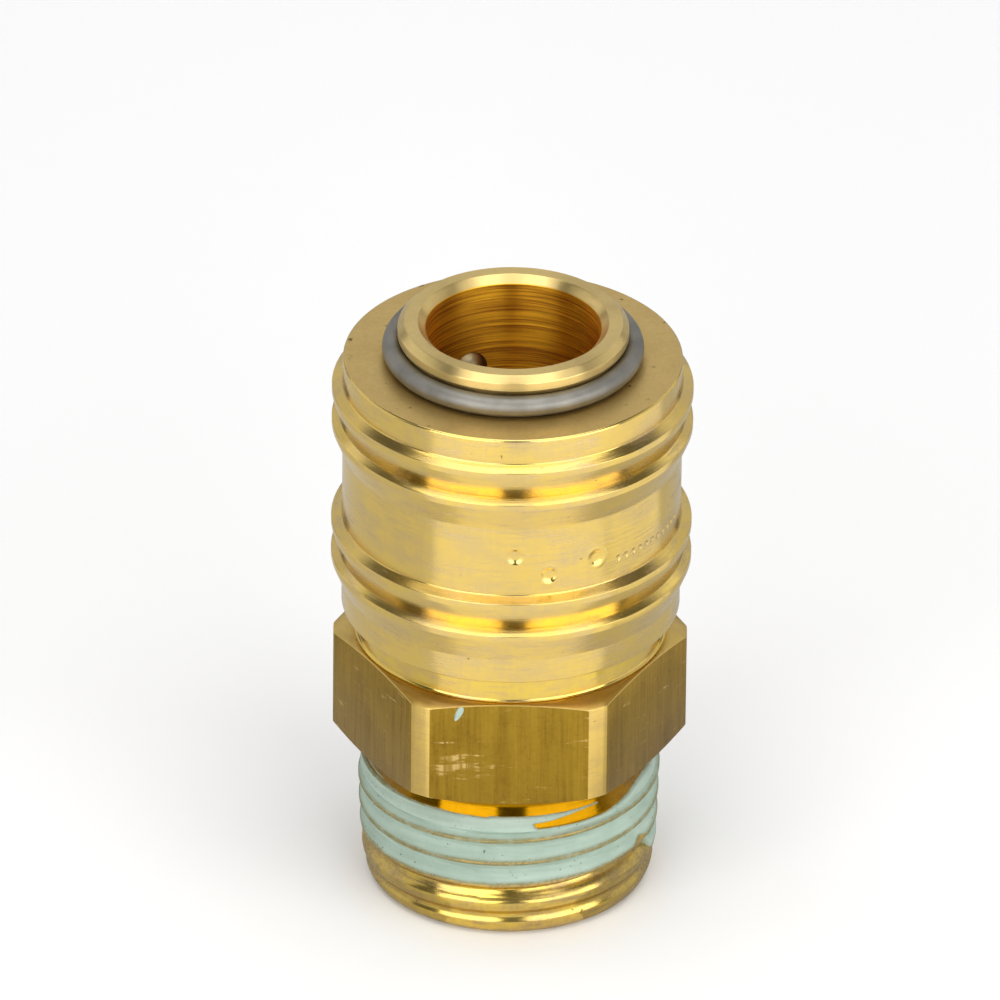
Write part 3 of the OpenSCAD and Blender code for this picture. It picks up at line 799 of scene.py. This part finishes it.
def sealant_coat(name):
    """Dried mint sealant: matt, slightly uneven in colour, with grit in it."""
    material, tree, shader = new_material(name)
    place = add(tree, "TexCoord").outputs["Object"]
    patch = noise(tree, place, 380.0, 4.0, 0.6)
    streak = noise(tree, turned_space(tree, 1.6, 1.5), 1.0, 3.0, 0.55)
    grit = noise(tree, place, 3600.0, 2.0, 0.6)
    tone = math_node(tree, "MULTIPLY_ADD", streak, 0.5, math_node(tree, "MULTIPLY", patch, 0.5))
    color = mix_color(tree, spread(tree, tone, 0.36, 0.64), linear(146, 165, 150), linear(170, 188, 174))
    scuff = add(tree, "Attribute", attribute_name="scuff").outputs["Fac"]
    broken = ramp(tree, noise(tree, place, 1500.0, 3.0, 0.6), [(0.3, 0.4), (0.6, 1.0)])
    color = mix_color(tree, math_node(tree, "MULTIPLY", scuff, broken), color, linear(122, 118, 72))
    color = mix_color(tree, spread(tree, grit, 0.68, 0.74), color, linear(82, 84, 50))
    tree.links.new(color, shader.inputs["Base Color"])
    tree.links.new(math_node(tree, "MULTIPLY_ADD", patch, 0.25, 0.42), shader.inputs["Roughness"])
    height = math_node(tree, "MULTIPLY_ADD", grit, 0.35, math_node(tree, "MULTIPLY", streak, 0.9))
    bumped(tree, shader, 0.03, height)
    return material


def assign(obj, *materials):
    """Gives an object its materials, one for each finish that its faces name."""
    indices = [face.material_index for face in obj.data.polygons]
    obj.data.materials.clear()
    for material in materials:
        obj.data.materials.append(material)
    if len(materials) > 1:
        obj.data.polygons.foreach_set("material_index", indices)


# ---------------------------------------------------------------- stage

def build_stage():
    """The pale floor, and grey cards on it beside and behind the object, seen only in its reflections:
    painted shade, standing in for the floor in the object's shadow.
    """
    size = 1.2
    corners = [(-size, -size), (size, -size), (size, size), (-size, size)]
    floor = stage_sheet("floor", corners, height=-0.00002, grey=0.9)
    floor.data.materials[0].name = "pale_floor"
    # painted shade: grey sheets, seen only in the object's reflections, darken the floor beside and behind it
    build_shade_card("shade_card_left", 0.60, contact=-27, first=-54)
    build_shade_card("shade_card_right", 0.52, contact=34, first=68, short_until=112)


def build_shade_card(name, grey, contact, first, short_until=0):
    """A card of painted shade, in metres and degrees, from the thread's foot at one azimuth out and round
    from another to straight behind the object; it darkens the floor only as the object reflects it. It can be
    cut short up to a third azimuth, so that there only the floor near the object is shaded."""
    foot_r, reach, short_reach, steps = 0.0118, 0.35, 0.054, 57
    touch = toward(contact, 0) * foot_r
    edge = []
    for azimuth in np.linspace(first, math.copysign(180, first), steps):
        cut_short = 0 < azimuth < short_until
        edge.append(toward(azimuth, 0) * (short_reach if cut_short else reach))
    edge[0] = touch + edge[0]
    points = [(0, 0), tuple(touch[:2])] + [tuple(p[:2]) for p in edge]
    card = stage_sheet(name, points, height=0.00004, grey=grey)
    # seen in reflections only: painted shade on the floor as the metal reflects it
    card.visible_camera = False
    card.visible_diffuse = False
    card.visible_shadow = False
    card.visible_transmission = False


def stage_sheet(name, points, height, grey):
    """A flat matt sheet that belongs to the stage, in metres."""
    mesh = bpy.data.meshes.new(name)
    mesh.from_pydata([(x, y, height) for x, y in points], [], [tuple(range(len(points)))])
    sheet = bpy.data.objects.new(name, mesh)
    bpy.context.scene.collection.objects.link(sheet)
    material, _, shader = new_material(name)
    shader.inputs["Base Color"].default_value = (grey, grey, grey, 1)
    shader.inputs["Roughness"].default_value = 0.7
    assign(sheet, material)
    return sheet


def toward(azimuth, elevation):
    """Direction from the object, with azimuths measured from the camera's side to its right."""
    a, e = math.radians(azimuth), math.radians(elevation)
    return Vector((math.sin(a) * math.cos(e), -math.cos(a) * math.cos(e), math.sin(e)))


def softbox(name, azimuth, elevation, distance, size, radiance):
    """A white rectangular light that faces the object."""
    data = bpy.data.lights.new(name, "AREA")
    data.shape = "RECTANGLE"
    data.size, data.size_y = size
    data.energy = radiance * math.pi * size[0] * size[1]
    lamp = bpy.data.objects.new(name, data)
    bpy.context.scene.collection.objects.link(lamp)
    direction = toward(azimuth, elevation)
    lamp.location = direction * distance + Vector((0, 0, 0.02))
    lamp.rotation_euler = direction.to_track_quat("Z", "Y").to_euler()


def build_lights():
    """Soft boxes round the object in a dim white room."""
    world = bpy.data.worlds.new("studio")
    bpy.context.scene.world = world
    world.use_nodes = True
    world.node_tree.nodes["Background"].inputs[0].default_value = (1, 1, 1, 1)
    world.node_tree.nodes["Background"].inputs[1].default_value = 0.12
    softbox("box_left", -31, 20, 0.6, (0.50, 0.42), 3.0)
    softbox("box_right", 42, 20, 0.6, (0.64, 0.42), 3.0)
    softbox("box_top", 0, 82, 0.9, (1.0, 0.8), 2.3)
    softbox("box_back", 180, 30, 0.8, (1.3, 0.7), 0.55)
    softbox("wall_left", -105, 20, 0.8, (0.8, 0.7), 0.7)
    softbox("wall_right", 108, 20, 0.8, (0.8, 0.7), 0.6)
    bpy.context.scene.view_settings.view_transform = "Standard"


def build_camera():
    """A long lens at the photograph's viewing angle, rolled a little as the photograph is."""
    elevation = math.radians(30.2)
    roll = math.radians(0.6)
    distance = 1.5
    width_in_view = 0.0693
    aim = Vector((-0.0008, 0, 0.0293))
    data = bpy.data.cameras.new("camera")
    data.sensor_width = 36
    data.lens = data.sensor_width * distance / width_in_view
    camera = bpy.data.objects.new("camera", data)
    bpy.context.scene.collection.objects.link(camera)
    out = Vector((0, -math.cos(elevation), math.sin(elevation)))
    camera.location = aim + out * distance
    look = (-out).to_track_quat("-Z", "Y").to_matrix().to_4x4()
    camera.rotation_euler = (look @ Matrix.Rotation(roll, 4, "Z")).to_euler()
    data.clip_start = 0.1
    bpy.context.scene.camera = camera


build_camera()
build_stage()
build_lights()

sleeve_brass = turned_brass("sleeve_brass", linear(229, 197, 106), linear(208, 182, 128),
                            roughness=0.19, anisotropy=0.7, line_depth=0.009, haze=0.7)
sleeve_face = faced_brass("sleeve_face", linear(234, 204, 134), linear(204, 173, 106), roughness=0.42)
# its bore colour is a deeper orange painted inside the plug bore for the light bounced round in it
barrel_brass = turned_brass("barrel_brass", linear(230, 202, 132), linear(210, 184, 124),
                            roughness=0.30, anisotropy=0.9, line_depth=0.006, lines=4.0,
                            bore=linear(250, 190, 38))
valve_brass = turned_brass("valve_brass", linear(226, 194, 112), linear(196, 166, 100),
                           roughness=0.24, anisotropy=0.6, line_depth=0.006, lines=4.0)
neck_brass = turned_brass("neck_brass", linear(229, 197, 88), linear(206, 176, 116),
                          roughness=0.16, anisotropy=0.7, line_depth=0.003, haze=0.7)
hex_turned = turned_brass("hex_turned", linear(219, 187, 102), linear(202, 171, 102),
                          roughness=0.34, anisotropy=0.5, line_depth=0.004, haze=0.9)
thread_brass = turned_brass("thread_brass", linear(224, 192, 88), linear(176, 150, 98),
                            roughness=0.20, anisotropy=0.6, line_depth=0.004, haze=0.8)
add_residue(thread_brass, (196, 172, 122), roughness=0.46)
# relief and thread run-out under the hexagon: base and dust tint darkened to a deep orange, painted shade and
# bounced light from the hexagon's overhang
relief_brass_shaded = turned_brass("relief_brass_shaded", linear(158, 112, 6), linear(136, 94, 6),
                            roughness=0.16, anisotropy=0.7, line_depth=0.003)
add_residue(relief_brass_shaded, (140, 118, 72), roughness=0.5)
flat_brass = bar_brass("hex_brass", linear(162, 130, 44), linear(124, 95, 30), roughness=0.34)
ring_steel = steel("ring_steel", linear(150, 147, 139), roughness=0.50)
spring_steel = steel("spring_steel", linear(180, 180, 178), roughness=0.32)
# the balls' steel is tinted beige: painted reflection of the brass round them
ball_steel = steel("ball_steel", linear(150, 136, 104), roughness=0.38, grain_depth=0.0005)
seal_rubber = rubber("seal_rubber")
mint_sealant = sealant_coat("sealant")

adapter = build_adapter()
assign(adapter, neck_brass, flat_brass, thread_brass, relief_brass_shaded, hex_turned)
sleeve = build_sleeve()
assign(sleeve, sleeve_brass, sleeve_face)
assign(build_sealant(), mint_sealant)
assign(build_speck(), mint_sealant)
sleeve_coil = build_spring("sleeve_coil", "sleeve_spring", wire=1.0, turns=7)
valve_coil = build_spring("valve_coil", "valve_spring", wire=0.7, turns=6)
assign(sleeve_coil, spring_steel)
assign(valve_coil, spring_steel)

CAD_MATERIALS = {
    "barrel": barrel_brass, "retaining_ring": ring_steel, "spring_washer": spring_steel,
    "plug_seal": seal_rubber, "valve_seal": seal_rubber, "body_seal": seal_rubber,
    "seal_support_ring": valve_brass, "valve_seat": valve_brass, "valve_poppet": valve_brass,
    "valve_guide": valve_brass, "guide_circlip": spring_steel,
}
for k in range(1, 5):
    CAD_MATERIALS[f"locking_ball_{k}"] = ball_steel
for node, material in CAD_MATERIALS.items():
    assign(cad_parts[node], material)
